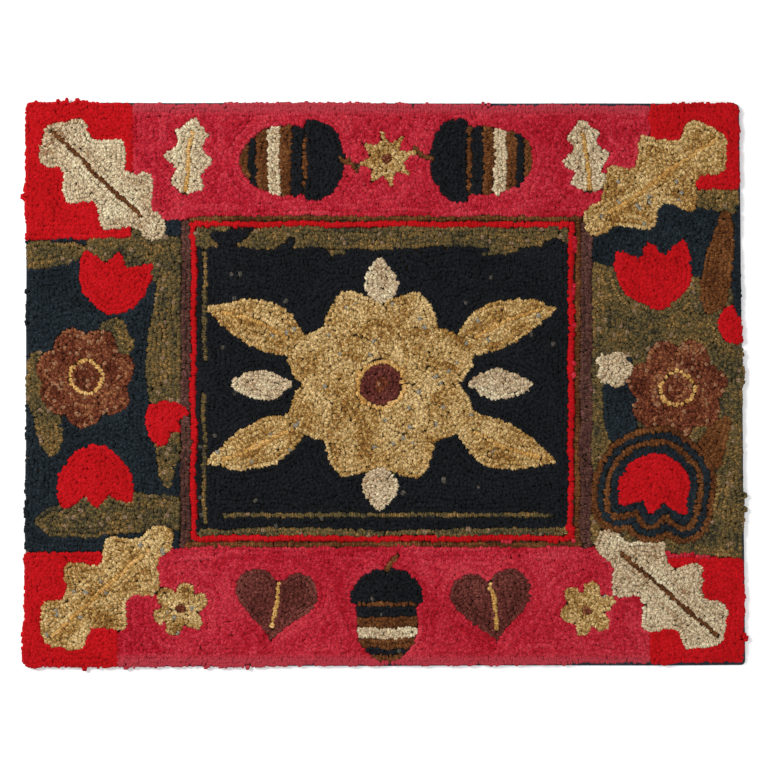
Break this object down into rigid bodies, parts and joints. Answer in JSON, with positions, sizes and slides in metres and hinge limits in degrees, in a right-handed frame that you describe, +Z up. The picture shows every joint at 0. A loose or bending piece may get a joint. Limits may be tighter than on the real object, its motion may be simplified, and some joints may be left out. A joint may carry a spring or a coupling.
{
  "type": "hooked rug",
  "caption": "Small oblong hooked wool rug lying flat, with a framed middle field, flowers and leaves, and a cotton tape bound on its back.",
  "frame": {"origin": "middle of the underside, on the surface that the rug lies on", "axes": "+X along the rug's length, +Y across it towards its far long edge, +Z up through the loops"},
  "size_m": [0.9178, 0.7192, 0.009],
  "materials": {
    "crimson_wool": "looped wool pile, matt",
    "scarlet_wool": "looped wool pile, matt",
    "black_wool": "looped wool pile, matt",
    "olive_wool": "looped wool pile, matt, mottled",
    "brown_wool": "looped wool pile, matt",
    "rust_wool": "looped wool pile, matt, flecked",
    "plum_wool": "looped wool pile, matt",
    "tan_wool": "looped wool pile, matt, mottled",
    "cream_wool": "looped wool pile, matt, mottled",
    "burlap": "plain jute weave, matt",
    "binding_tape": "cotton twill, matt"
  },
  "bodies": {
    "root": {"hooked_mat": "crimson_wool", "binding": "binding_tape"}
  },
  "joints": []
}
